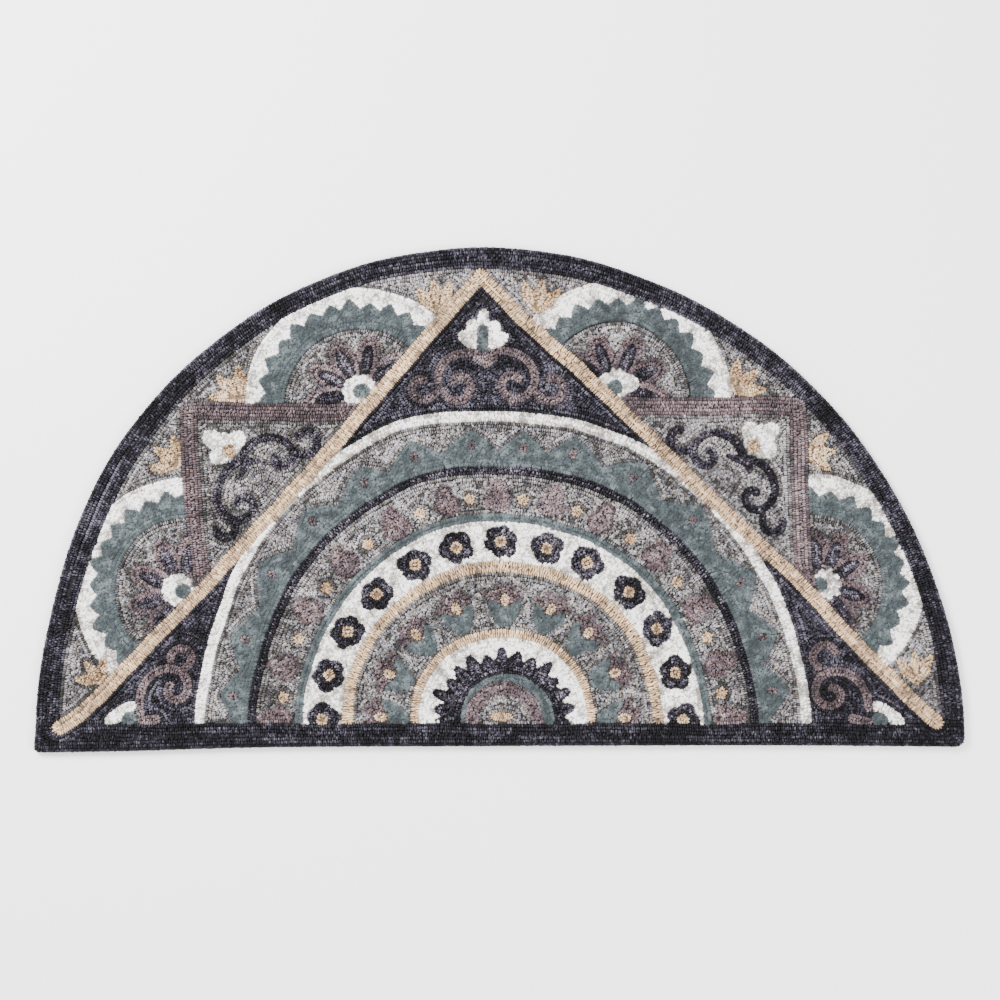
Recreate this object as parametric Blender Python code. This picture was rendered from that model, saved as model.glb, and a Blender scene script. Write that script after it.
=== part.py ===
"""Half-round hooked rug: one flat pile cloth with a hand-made outline and a rolled rim.

The straight side runs along X and the curved side points to +Y. The origin is on the floor,
under the middle of the rug's box. All sizes are in metres.
"""

import math
from typing import NamedTuple

import bmesh
import bpy

# Driving dimensions
THICKNESS = 0.011        # ground cloth and pile together
TOP_ROUND = 0.0045       # where the pile rolls over the rim
FLOOR_ROUND = 0.0012     # where the ground cloth is turned under
LEFT_CORNER = 0.006      # corner radii, seen from above
RIGHT_CORNER = 0.011
LEFT_SIDE = -0.5598      # the two short upright sides under the curve
RIGHT_SIDE = 0.5582

CURVE_STEPS = 108        # points along the curved side
STRAIGHT_STEPS = 24      # points along the straight side
CORNER_STEPS = 5         # points round a corner
ROUND_SEGMENTS = 4
FLOOR_ROUND_SEGMENTS = 2
WELD = 0.00005

# The curved side wavers a little where the rows of loops were pulled tighter or looser
RIPPLE_HEIGHT = 0.0007
RIPPLE_COUNTS = (11, 27)

WOOL_COLOUR = (0.12, 0.13, 0.145, 1.0)
WOOL_ROUGHNESS = 0.95


class EdgeRow(NamedTuple):
    """How far the curved side is from the hub, at one bearing counted from +X."""

    bearing_deg: float
    radius: float


class SideRow(NamedTuple):
    """How far the straight side lies below the hub, at one place along it."""

    x: float
    drop: float


# The hub is the middle of the line that the rings of the pattern stand on
CURVED_SIDE = (
    EdgeRow(0, 0.5577),
    EdgeRow(20, 0.5485),
    EdgeRow(45, 0.5502),
    EdgeRow(70, 0.5592),
    EdgeRow(90, 0.5695),
    EdgeRow(105, 0.5729),
    EdgeRow(125, 0.5713),
    EdgeRow(145, 0.5658),
    EdgeRow(165, 0.5551),
    EdgeRow(180, 0.5577),
)
STRAIGHT_SIDE = (
    SideRow(-0.5598, 0.0369),
    SideRow(-0.456, 0.0355),
    SideRow(-0.288, 0.0309),
    SideRow(-0.024, 0.0294),
    SideRow(0.288, 0.0284),
    SideRow(0.432, 0.0290),
    SideRow(0.5582, 0.0302),
)


def clear_scene():
    for obj in list(bpy.data.objects):
        bpy.data.objects.remove(obj, do_unlink=True)


def slopes(rows):
    """The slope of a smooth curve at each row: the mean slope of its neighbours."""
    found = []
    for i in range(len(rows)):
        before = rows[max(i - 1, 0)]
        after = rows[min(i + 1, len(rows) - 1)]
        found.append((after[1] - before[1]) / (after[0] - before[0]))
    return found


def smooth(rows, at):
    """Reads the second column of a table at a value of its first, along a smooth curve."""
    slope = slopes(rows)
    i = 0
    while i < len(rows) - 2 and at > rows[i + 1][0]:
        i += 1
    start, end = rows[i], rows[i + 1]
    span = end[0] - start[0]
    t = (at - start[0]) / span
    return (
        (2 * t**3 - 3 * t**2 + 1) * start[1]
        + (t**3 - 2 * t**2 + t) * span * slope[i]
        + (3 * t**2 - 2 * t**3) * end[1]
        + (t**3 - t**2) * span * slope[i + 1]
    )


def ripple(share):
    """The waver of the curved side, which dies out at both of its ends."""
    waves = sum(math.sin(count * math.pi * share + count) for count in RIPPLE_COUNTS)
    return RIPPLE_HEIGHT * math.sin(math.pi * share) * waves / len(RIPPLE_COUNTS)


def curved_side():
    """Points from the right end over the top to the left end."""
    points = []
    for i in range(CURVE_STEPS + 1):
        share = i / CURVE_STEPS
        bearing = 180 * share
        radius = smooth(CURVED_SIDE, bearing) + ripple(share)
        angle = math.radians(bearing)
        points.append((radius * math.cos(angle), radius * math.sin(angle)))
    return points


def corner(x, y, radius, first_deg):
    """A quarter turn, anticlockwise, inside the corner at x, y."""
    inward = 1 if x < 0 else -1
    middle = (x + inward * radius, y + radius)
    points = []
    for i in range(CORNER_STEPS + 1):
        angle = math.radians(first_deg + 90 * i / CORNER_STEPS)
        points.append((middle[0] + radius * math.cos(angle), middle[1] + radius * math.sin(angle)))
    return points


def straight_side():
    """Points from the left corner to the right one, between the two roundings."""
    first = LEFT_SIDE + LEFT_CORNER
    last = RIGHT_SIDE - RIGHT_CORNER
    points = []
    for i in range(1, STRAIGHT_STEPS):
        x = first + (last - first) * i / STRAIGHT_STEPS
        points.append((x, -smooth(STRAIGHT_SIDE, x)))
    return points


def outline():
    """The rug's outline, anticlockwise, with the middle of its box at the origin."""
    left = corner(LEFT_SIDE, -STRAIGHT_SIDE[0].drop, LEFT_CORNER, 180)
    right = corner(RIGHT_SIDE, -STRAIGHT_SIDE[-1].drop, RIGHT_CORNER, 270)
    points = curved_side() + left + straight_side() + right
    xs = [x for x, _ in points]
    ys = [y for _, y in points]
    middle = ((min(xs) + max(xs)) / 2, (min(ys) + max(ys)) / 2)
    return [(x - middle[0], y - middle[1]) for x, y in points]


def filled_outline(name, points):
    """The outline as a filled flat curve, raised to the rug's thickness."""
    data = bpy.data.curves.new(name, "CURVE")
    data.dimensions = "2D"
    data.fill_mode = "BOTH"
    data.extrude = THICKNESS / 2
    spline = data.splines.new("POLY")
    spline.points.add(len(points) - 1)
    for point, (x, y) in zip(spline.points, points):
        point.co = (x, y, 0, 1)
    spline.use_cyclic_u = True
    obj = bpy.data.objects.new(name, data)
    obj.location.z = THICKNESS / 2
    return obj


def as_mesh(curve, collection):
    """The curve's shape as a mesh object with welded caps. The curve goes."""
    collection.objects.link(curve)
    bpy.context.view_layer.update()
    graph = bpy.context.evaluated_depsgraph_get()
    mesh = bpy.data.meshes.new_from_object(curve.evaluated_get(graph))
    mesh.transform(curve.matrix_world)
    name = curve.name
    bpy.data.objects.remove(curve, do_unlink=True)
    obj = bpy.data.objects.new(name, mesh)
    collection.objects.link(obj)
    return obj


def rim_edges(bm, height):
    """The edges between the upright rim and the flat face at this height."""
    found = []
    for edge in bm.edges:
        level = all(abs(vert.co.z - height) < WELD for vert in edge.verts)
        upright = [face for face in edge.link_faces if abs(face.normal.z) < 0.5]
        if level and len(upright) == 1:
            found.append(edge)
    return found


def round_rim(obj):
    """Welds the caps, clears their inner edges and rounds the upper and lower rim."""
    bm = bmesh.new()
    bm.from_mesh(obj.data)
    bmesh.ops.remove_doubles(bm, verts=bm.verts, dist=WELD)
    bmesh.ops.dissolve_limit(bm, angle_limit=math.radians(0.1), verts=[], edges=bm.edges)
    bmesh.ops.recalc_face_normals(bm, faces=bm.faces)
    bm.normal_update()
    roundings = ((THICKNESS, TOP_ROUND, ROUND_SEGMENTS), (0.0, FLOOR_ROUND, FLOOR_ROUND_SEGMENTS))
    for height, radius, segments in roundings:
        bmesh.ops.bevel(
            bm,
            geom=rim_edges(bm, height),
            offset=radius,
            segments=segments,
            profile=0.5,
            affect="EDGES",
        )
        bm.normal_update()
    bm.to_mesh(obj.data)
    bm.free()


def wool_material():
    material = bpy.data.materials.new("heather_wool")
    material.use_nodes = True
    shader = material.node_tree.nodes["Principled BSDF"]
    shader.inputs["Base Color"].default_value = WOOL_COLOUR
    shader.inputs["Roughness"].default_value = WOOL_ROUGHNESS
    shader.inputs["Metallic"].default_value = 0.0
    return material


def make_rug(collection):
    rug = as_mesh(filled_outline("rug", outline()), collection)
    round_rim(rug)
    rug.data.shade_smooth()
    rug.data.set_sharp_from_angle(angle=math.radians(50))
    rug.data.materials.clear()
    rug.data.materials.append(wool_material())
    return rug


def main():
    clear_scene()
    collection = bpy.data.collections.new("half_round_rug")
    bpy.context.scene.collection.children.link(collection)
    make_rug(collection)


main()
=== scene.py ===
"""Looks of the half-round hooked rug: its yarn loops and cut pile, ground cloth, floor, light and camera.

The pattern is drawn in millimetres from the hub of its rings, as shapes that lie over each other. Rows of
loops then follow the edge of each shape, as they do on a rug that is hooked by hand.
"""

import math
from collections import namedtuple

import bpy
import numpy as np
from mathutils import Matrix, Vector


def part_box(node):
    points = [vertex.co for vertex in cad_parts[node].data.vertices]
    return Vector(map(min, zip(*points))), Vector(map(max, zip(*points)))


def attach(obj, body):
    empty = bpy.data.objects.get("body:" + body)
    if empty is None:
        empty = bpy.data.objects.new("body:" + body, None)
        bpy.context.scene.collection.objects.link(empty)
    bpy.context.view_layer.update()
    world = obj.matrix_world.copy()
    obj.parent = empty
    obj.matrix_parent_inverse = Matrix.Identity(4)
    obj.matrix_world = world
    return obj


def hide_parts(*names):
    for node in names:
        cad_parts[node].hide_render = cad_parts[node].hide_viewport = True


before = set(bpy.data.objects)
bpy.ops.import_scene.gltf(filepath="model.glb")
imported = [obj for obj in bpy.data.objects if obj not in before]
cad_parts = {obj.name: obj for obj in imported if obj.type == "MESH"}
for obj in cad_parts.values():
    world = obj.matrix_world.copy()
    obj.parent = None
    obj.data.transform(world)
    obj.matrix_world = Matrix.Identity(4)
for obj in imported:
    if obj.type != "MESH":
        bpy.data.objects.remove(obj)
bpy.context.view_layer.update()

RUG_LOW, RUG_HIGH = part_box("rug")
MM = 0.001

# The yarns, in the order of YARNS and WOOLS below
CHARCOAL, GREY, MAUVE, BEIGE, NAVY, TEAL, IVORY, SAND = range(8)

# Pattern, in millimetres from the hub
HUB_X, HUB_Y = 4.4, -266.5  # the hub, from the middle of the rug
CELL = 1.0  # the grid that the shapes are drawn on
REACH = 32.0  # how far round a shape the grid is updated
MARGIN = 12.0  # of the grid round the rug
FAR = 1e6  # farther than any place on the rug
WAVE_POWERS = {"hump": 1.0, "knob": 0.5, "leaf": 1.05}
POINT_POWER = 1.2
WAVE_STEP = 2.4  # sets each wave of an edge apart from the next
SPIRAL_STEPS, SPIRAL_POWER = 40, 0.8
RING_REACH = 9.0  # how far a ring's bulge and waver take it past its radius
RIM_LEVEL = 0.575  # where the rim begins to round over, as a share of the rug's height
WELD = 1e-5  # in metres, between heights that count as one
SLOW_WAVER, QUICK_WAVER = 1.0, 0.5
BAND_HALF = 8.0  # half widths of the triangle's band and of the square's frame
FRAME_HALF = 10.5
MEDALLION = 372.0

# Camera and light
VIEW_WIDTH = 1.1993
VIEW_MIDDLE = (0.0008, -0.0003)
LENS, SENSOR = 85.0, 36.0
FLOOR_HALF = 6.0
FLOOR_DROP = 0.0004  # keeps the floor from showing through the cloth
FLOOR_COLOUR = (0.93, 0.93, 0.93, 1)
# The lamps: place, size and power
LAMPS = {"key": ((-1.5, 1.3, 2.0), 1.2, 205), "fill": ((1.6, -0.9, 2.2), 1.6, 75)}
SKY = 1.8

rng = np.random.default_rng(44)

# A ring's yarn, its outer radius, and how much of the outer rings' bulge it shares
Ring = namedtuple("Ring", "yarn radius bulge")

# An arch of the teal ring: its bearing, the radius of its tip and of the valley after it
Peak = namedtuple("Peak", "bearing_deg tip valley")

# A disc whose edge rises and falls, with the radius of its valleys and its tips
Waves = namedtuple("Waves", "x y valley tip count bearing_deg shape uneven")

# A stroke that winds in round a middle
Spiral = namedtuple("Spiral", "x y bearing_deg radius sweep_deg end_radius")

# A leaf that starts at x, y and points along its bearing
Petal = namedtuple("Petal", "x y bearing_deg length width")

# An oval that points away from the hub: how far out it is, and its half length and half width
Oval = namedtuple("Oval", "radius half_length half_width")

# A half rosette: its middle and radius, its white edge, its eye, its white heart and its teeth. The dark
# line runs inside its teal band. The white oval is half the length of one over the heart.
Lobe = namedtuple(
    "Lobe",
    "x y outer white_edge eye_x eye_y white_x white_y white_radius teeth "
    "first_tooth_deg dark_line white_oval white_shape petals_deg",
)

# Three leaves that fan out from a foot, with the angle between them
Lily = namedtuple("Lily", "x y bearing_deg size fan_deg")

LOBES = (
    Lobe(-172, 384, 137, 14, -170, 397, -172, 397, 20, 30, 84, 1, 0, "knob", (40, 78, 120, 156, 191)),
    Lobe(135, 390, 139, 19, 135.5, 401, 138, 406, 18, 29, 88.7, 2.4, 26.5, "knob", (147, 113, 67, 26, -13)),
    Lobe(-378, 158, 136, 15, -385, 158, -391, 159, 20, 29, 177, 0, 0, "knob", (81, 116, 160, 199, 234)),
    Lobe(372, 164, 132, 16, 380, 164, 387, 164, 21, 28, 2, 0, 0, "point", (97, 64, 30, -15, -50)),
)
TOOTH, TOOTH_UNEVEN = 10.5, 0.22
LOBE_BAND = 48.0  # from a lobe's edge to the inside of its teal band
# Each row of petals: its yarn, how far from the eye they start, their length, width and raggedness
LOBE_PETALS = ((MAUVE, 12, 56, 29, 2.5), (NAVY, 19, 37, 14, 0.8))
HEART_DEPTH = {"knob": 4, "point": 7}
HEART_WAVES, HEART_UNEVEN, HEART_OVAL = 10, 0.1, 0.72
LOBE_EYE = 9.5
LILIES = (
    Lily(-77, 491, 100, 39, 34),
    Lily(40, 493, 80, 39, 36),
    Lily(-312, 385, 136, 42, 38),
    Lily(-388, 309, 146, 36, 40),
    Lily(277, 396, 42, 38, 40),
    Lily(364, 322, 4, 35, 40),
    Lily(-482, 48, 128, 31, 46),
    Lily(498, 46, 97, 37, 34),
)
# A leaf's foot, belly and tip: how far out they are and half their widths, as shares of its size
LILY_PLACES, LILY_WIDTHS = (0.05, 0.55, 0.93), (0.1, 0.22)
LILY_TIP = 3.5  # the tip's half width, in millimetres
LEFT_BAND = (
    (-533, -9), (-505, 10), (-427, 90), (-350, 170), (-276, 250),
    (-206, 330), (-135, 410), (-65, 490), (-28, 535),
)
RIGHT_BAND = (
    (-28, 535), (17, 490), (61, 450), (105, 410), (188, 330),
    (270, 250), (352, 170), (428, 90), (508, 10), (521, -1),
)
TRIANGLE = LEFT_BAND + RIGHT_BAND[1:]
FRAMES = (
    ((-160, 372), (-378, 372), (-377, 326), (-370, 255), (-363, 185), (-361, 150)),
    ((146, 380), (353, 378), (354, 345), (358, 260), (361, 185), (369, 150)),
)
# Each clover has an eye and three leaves
CLOVERS = (
    ((-330, 323.5), ((-351, 340), (-319, 339), (-342, 317))),
    ((301, 330.7), ((296, 349), (321, 349), (319, 325))),
)
CLOVER_LEAF, CLOVER_HEART, CLOVER_EYE = (9, 10), 14.5, 8.3
SPURS = (
    ((-308, 312), (-294, 312)),
    ((-308, 312), (-315, 296)),
    ((293, 312), (271, 320)),
    ((293, 312), (298, 300)),
)
SPUR_WIDTHS = (5, 2.5)
KNOT = ((-33, 449), (-8, 449), (-3, 434), (-20, 424), (-37, 434))
LOTUS = (
    Petal(-23, 452, 90, 43, 14),
    Petal(-23, 452, 118, 33.5, 20),
    Petal(-23, 452, 60, 33.5, 20),
    Petal(-24, 453, 158, 31, 18),
    Petal(-22, 453, 22, 31, 18),
)
LOTUS_STEM, LOTUS_STEM_HALF = ((-23, 452), (-23, 469)), 7.2
# The half flowers in the triangle's corners: a white leaf, a round eye and a tip
CORNER_FLOWERS = (
    (Petal(-479, -2, 34, 46, 16), (-449, 3, 10), ((-435, 0), (-417, 4))),
    (Petal(483, -2, 146, 46, 16), (453, 3, 10), ((439, 0), (421, 4))),
)
CORNER_TIP_HALF = 6
# How far the outermost ring is out of round, and how wide the border is, each at its bearings
BULGE_DEG = (0, 8, 15, 31, 60, 88, 96, 104, 110, 120, 135, 146, 154, 162, 172, 180)
BULGE = (-2, -3.5, -5.5, -6.5, 0, 0, 3.5, 7, 10.5, 8, 3, -1, -3, -5.5, -6, -2)
BORDER_DEG = (0, 5, 10, 20, 30, 45, 60, 75, 90, 98, 108, 118, 126, 134, 142, 154, 162, 170, 180)
BORDER = (27, 26, 24, 23, 23, 22.5, 23.5, 25, 26, 25, 23, 23, 24.5, 25.5, 28.5, 29.5, 28.5, 27, 28)
# Each pair of rings: an edge and the ground inside it
OUTER_RINGS = (Ring(IVORY, MEDALLION, 1), Ring(GREY, 360, 1))
PEAKS = (
    Peak(-6, 346, 320),
    Peak(6.4, 346.5, 320),
    Peak(18, 347, 322),
    Peak(30.5, 350, 324),
    Peak(46.7, 352, 326),
    Peak(61.8, 352, 326),
    Peak(75.5, 352, 325),
    Peak(86, 349.5, 324),
    Peak(96.6, 353, 328),
    Peak(108.6, 353, 328),
    Peak(120, 351, 326),
    Peak(133.5, 347, 325),
    Peak(147.5, 347, 322),
    Peak(162.5, 343.5, 320),
    Peak(174.8, 340, 319),
    Peak(187, 340, 319),
)
BELL_RINGS = (Ring(NAVY, 307, 0.5), Ring(GREY, 297, 0.5))
FLOWER_RINGS = (Ring(TEAL, 249.5, 0.2), Ring(IVORY, 240, 0.2))
SPRIG_RINGS = (Ring(BEIGE, 193, 0), Ring(GREY, 180, 0))
WREATH_RINGS = (Ring(BEIGE, 112, 0), Ring(IVORY, 102, 0))
BELLS_DEG = (1, 15.2, 30.5, 47, 63.8, 77.4, 91.1, 104.3, 118.5, 134.8, 150.3, 166, 179.5)
STARS_DEG = (7.4, 22.4, 38.9, 54.8, 70.7, 84.7, 98.2, 111.6, 127.2, 142.7, 157.8, 173.5)
STAR_FLOWERS_DEG = (0.6, 16, 31.3, 45.8, 61.9, 75.5, 90.4, 105.2, 119.6, 135, 149.9, 164.8, 179)
SPRIGS_DEG = (1.5, 23.5, 46.4, 67, 89.5, 112.8, 135, 157.4, 178)
BELL = (Oval(267, 14.5, 17), Oval(280, 12, 11.5))
STAR_RADIUS, STAR_DRIFT = 264, 5
STAR = Waves(0, 0, 5.8, 8, 5, 0, "hump", 0.15)
FLOWER_RADIUS, FLOWER_SWAY_DEG, FLOWER_EYE_DEG = 216, 20, 40
FLOWER = Waves(0, 0, 15.2, 20.8, 5, 0, "knob", 0.25)
FLOWER_EYE = Waves(0, 0, 6.4, 8.0, 4, 0, "hump", 0.2)
SPRIG_FAN, SPRIG_FAN_RADIUS = ((-66, 26), (-24, 26), (24, 26), (66, 26)), 143
SPRIG_LEAVES, SPRIG_LEAF_RADIUS = ((-30, 36), (0, 26), (30, 36)), 115
SPRIG_FAN_WIDTH, SPRIG_LEAF_WIDTH = 15, 13
SPRIG_EYE = Oval(147, 8, 5.6)
PEAK_EYE, PEAK_EYE_SHARE = (6.5, 5), 0.25
WREATH = Waves(0, 0, 75, 88, 27.3, 90.5, "leaf", 0.35)
# The discs inside the wreath: yarn, place and radius, and how ragged the edge is
INNER_DISCS = ((TEAL, (5.5, 0, 58), 0.5), (MAUVE, (1.8, 1, 48.3), 2.5), (GREY, (2, 1.6, 31.6), 3))
CENTRE = (-1, 7, 14.5, 5.8)
STRIP_TOP = -2.5
STRIP = ((-700, STRIP_TOP), (700, STRIP_TOP), (700, -200), (-700, -200))
SCROLL_HALF = {NAVY: 4.5, MAUVE: 5.4}
NAVY_SCROLLS = (
    Spiral(-268.6, 315.4, 175, 47, -400, 5),
    Spiral(-237.5, 338.2, 225, 20, 280, 10.5),
    Spiral(-311.8, 260.2, 94, 55, 430, 6),
    Spiral(-333.4, 231.5, 59, 14, -235, 9.5),
    Spiral(245.9, 320.2, -9, 48, 448, 6),
    Spiral(212.3, 341.8, -30, 19, -240, 10),
    Spiral(302.2, 271.0, 96, 45, -408, 6),
    Spiral(326.2, 238.7, 150, 15, 220, 10.5),
)
MAUVE_SCROLLS = (
    Spiral(-52.8, 404.2, 65, 44, 435, 9),
    Spiral(-98.5, 400.4, -20, 17.5, -270, 9.5),
    Spiral(13.2, 406.6, 115, 44, -435, 9),
    Spiral(60.0, 400.6, 200, 20, 270, 11),
    Spiral(-394.6, 38.4, 219, 52, -452, 7),
    Spiral(-386.2, 75.6, -63, 13.5, 245, 11.5),
    Spiral(395.8, 33.6, -20, 47, 470, 8),
    Spiral(387.4, 80.4, 242, 17, -215, 11.5),
)


def rug_outline():
    """The rug's outline where its rim begins to round over, anticlockwise, in millimetres from the hub."""
    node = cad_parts["rug"]
    co = np.empty(len(node.data.vertices) * 3)
    node.data.vertices.foreach_get("co", co)
    co = co.reshape(-1, 3)
    height = RUG_LOW[2] + RIM_LEVEL * (RUG_HIGH[2] - RUG_LOW[2])
    level = co[np.argmin(np.abs(co[:, 2] - height)), 2]
    on_level = np.abs(co[:, 2] - level) < WELD
    rim = np.unique(np.round(co[on_level][:, :2], 6), axis=0)
    turn = np.arctan2(rim[:, 1], rim[:, 0])
    rim = rim[np.argsort(turn)] / MM
    return rim - (HUB_X, HUB_Y)


def inside_polygon(points, x, y):
    """Which places lie inside an outline."""
    inside = np.zeros(x.shape, bool)
    for (ax, ay), (bx, by) in zip(points, np.roll(points, -1, axis=0)):
        if ay == by:
            continue
        crosses = (ay > y) != (by > y)
        inside ^= crosses & (x < (bx - ax) * (y - ay) / (by - ay) + ax)
    return inside


def to_line(x, y, a, b):
    """How far places are from the line between two points, and the share of it that is behind them."""
    ux, uy = b[0] - a[0], b[1] - a[1]
    along = np.clip(((x - a[0]) * ux + (y - a[1]) * uy) / (ux * ux + uy * uy), 0, 1)
    return np.hypot(x - a[0] - along * ux, y - a[1] - along * uy), along


class Canvas:
    """The pattern on a grid: each cell's yarn, and how far it is from the nearest edge of a motif.

    The rim is how far a cell is inside the rug's outline, and negative outside it.
    """

    def __init__(self, outline):
        low = np.floor(outline.min(axis=0)) - MARGIN
        high = np.ceil(outline.max(axis=0)) + MARGIN
        xs = np.arange(low[0], high[0], CELL)
        ys = np.arange(low[1], high[1], CELL)
        self.low = low
        self.x, self.y = np.meshgrid(xs, ys)
        self.rim = -polygon(outline)[0](self.x, self.y)
        self.yarn = np.full(self.x.shape, GREY)
        self.depth = np.full(self.x.shape, FAR)
        self.wavered = waver(self.x, self.y)
        self.frizz = frizz(self.x, self.y)

    def window(self, box):
        """The part of the grid round a box."""
        x0, y0, x1, y1 = box
        cols = [max(int((x - self.low[0]) / CELL), 0) for x in (x0 - REACH, x1 + REACH)]
        rows = [max(int((y - self.low[1]) / CELL), 0) for y in (y0 - REACH, y1 + REACH)]
        return slice(rows[0], rows[1] + 1), slice(cols[0], cols[1] + 1)

    def paint(self, yarn, shape, ragged=0.0):
        """Lays one motif over what is there. A shape is a distance, negative inside, and its box.

        A ragged motif has an edge whose loops stray in and out by about this many millimetres.
        """
        distance, box = shape
        part = self.window(box)
        x, y = self.wavered[0][part], self.wavered[1][part]
        if x.size == 0:
            return
        away = distance(x, y) + ragged * self.frizz[part]
        inside = away < 0
        self.depth[part] = np.where(inside, -away, np.minimum(self.depth[part], away))
        self.yarn[part] = np.where(inside, yarn, self.yarn[part])

    def paint_rim(self, yarn):
        """Lays the border along the rim, as wide at each bearing as the table says."""
        turn = np.degrees(np.arctan2(np.maximum(self.y, 0), self.x))
        away = self.rim - np.interp(turn, BORDER_DEG, BORDER)
        inside = away < 0
        self.depth = np.where(inside, np.minimum(-away, self.rim), np.minimum(self.depth, away))
        self.yarn = np.where(inside, yarn, self.yarn)


def waver(x, y):
    """The pattern's hand-made waver, a millimetre or so, as a slow wave and a quick one each way."""
    dx = SLOW_WAVER * np.sin(y / 31 + 1.3 * np.sin(x / 57)) + QUICK_WAVER * np.sin(x / 11 + y / 17 + 2)
    dy = SLOW_WAVER * np.sin(x / 35 + 1.1 * np.sin(y / 49) + 1) + QUICK_WAVER * np.sin(y / 12 - x / 15)
    return x + dx, y + dy


def frizz(x, y):
    """Ups and downs from -1 to 1, each about as wide as a loop."""
    return np.sin(1.05 * x + 2 * np.sin(0.31 * y)) * np.sin(1.15 * y + 2 * np.sin(0.27 * x))


def at(radius, bearing_deg, x0=0.0, y0=0.0):
    turn = math.radians(bearing_deg)
    return x0 + radius * math.cos(turn), y0 + radius * math.sin(turn)


def disc(x0, y0, radius):
    box = (x0 - radius, y0 - radius, x0 + radius, y0 + radius)
    return lambda x, y: np.hypot(x - x0, y - y0) - radius, box


def rise(kind, t):
    """How far a wave has risen, at t from -1 to 1 between two valleys."""
    if kind == "point":
        return 1 - np.abs(t) ** POINT_POWER
    return np.cos(t * math.pi / 2) ** WAVE_POWERS[kind]


def bulge(turn):
    """How far the outermost ring is out of round, at a bearing."""
    return np.interp(turn, BULGE_DEG, BULGE)


def ring_disc(row):
    """A disc that shares some of the bulge."""

    def distance(x, y):
        turn = np.degrees(np.arctan2(y, x))
        return np.hypot(x, y) - row.radius - row.bulge * bulge(turn)

    reach = row.radius + RING_REACH
    return distance, (-reach, -reach, reach, reach)


def peaks():
    """The disc whose edge is a row of arches, each as wide and as high as the table says."""
    bearings, tips, valleys = np.array(PEAKS).T
    order = np.arange(len(PEAKS))

    def radius(turn):
        phase = np.interp(turn, bearings, order)
        nearest = np.round(phase)
        valley = np.interp(phase, order + 0.5, valleys)
        tip = tips[nearest.astype(int)]
        return valley + (tip - valley) * rise("point", 2 * (phase - nearest))

    reach = tips.max() + RING_REACH
    return waved(radius), (-reach, -reach, reach, reach)


def waved(radius, x0=0.0, y0=0.0):
    """How far a place is outside an edge whose radius depends on the bearing."""

    def distance(x, y):
        dx, dy = x - x0, y - y0
        r = np.hypot(dx, dy) + 1e-6
        turn = np.degrees(np.arctan2(dy, dx))
        step = 0.5
        slope = (radius(turn + step) - radius(turn - step)) / np.radians(2 * step)
        return (r - radius(turn)) / np.sqrt(1 + (slope / r) ** 2)

    return distance


def waves(row):
    """A disc with a waved edge, each wave a little different."""

    def radius(turn):
        phase = (turn - row.bearing_deg) / 360 * row.count
        nearest = np.round(phase)
        lift = 1 + row.uneven * np.sin(nearest * WAVE_STEP + row.count)
        height = np.clip(rise(row.shape, np.clip(2 * (phase - nearest), -1, 1)), 0, 1)
        return row.valley + (row.tip - row.valley) * lift * height

    reach = row.tip * (1 + row.uneven)
    return waved(radius, row.x, row.y), (row.x - reach, row.y - reach, row.x + reach, row.y + reach)


def stroke(points, half_width):
    """A line through these points with round ends, of even or changing width."""
    points = np.array(points, float)
    halves = np.broadcast_to(np.array(half_width, float), (len(points),))

    def distance(x, y):
        best = np.full(x.shape, FAR)
        for i in range(len(points) - 1):
            away, along = to_line(x, y, points[i], points[i + 1])
            best = np.minimum(best, away - halves[i] - along * (halves[i + 1] - halves[i]))
        return best

    low, high = points.min(axis=0) - halves.max(), points.max(axis=0) + halves.max()
    return distance, (*low, *high)


def polygon(points):
    """A filled outline."""
    points = np.array(points, float)

    def distance(x, y):
        best = np.full(x.shape, FAR)
        for a, b in zip(points, np.roll(points, -1, axis=0)):
            best = np.minimum(best, to_line(x, y, a, b)[0])
        return np.where(inside_polygon(points, x, y), -best, best)

    return distance, (*points.min(axis=0), *points.max(axis=0))


def oval(x0, y0, half_length, half_width, bearing_deg):
    """An oval whose length points along its bearing."""
    turn = math.radians(bearing_deg)

    def distance(x, y):
        u = ((x - x0) * math.cos(turn) + (y - y0) * math.sin(turn)) / half_length
        v = (-(x - x0) * math.sin(turn) + (y - y0) * math.cos(turn)) / half_width
        size = np.hypot(u, v)
        slope = np.hypot(u / half_length, v / half_width) + 1e-9
        return size * (size - 1) / slope

    reach = max(half_length, half_width)
    return distance, (x0 - reach, y0 - reach, x0 + reach, y0 + reach)


def hub_oval(row, bearing_deg):
    return oval(*at(row.radius, bearing_deg), row.half_length, row.half_width, bearing_deg)


def petal(row):
    half = row.length / 2
    x, y = at(half, row.bearing_deg, row.x, row.y)
    return oval(x, y, half, row.width / 2, row.bearing_deg)


def joined(*shapes):
    """Several shapes as one."""

    def distance(x, y):
        return np.minimum.reduce([shape[0](x, y) for shape in shapes])

    boxes = np.array([shape[1] for shape in shapes])
    return distance, (*boxes[:, :2].min(axis=0), *boxes[:, 2:].max(axis=0))


def spiral_points(row):
    points = []
    for i in range(SPIRAL_STEPS + 1):
        share = i / SPIRAL_STEPS
        radius = row.radius * (row.end_radius / row.radius) ** (share**SPIRAL_POWER)
        points.append(at(radius, row.bearing_deg + row.sweep_deg * share, row.x, row.y))
    return points


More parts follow.
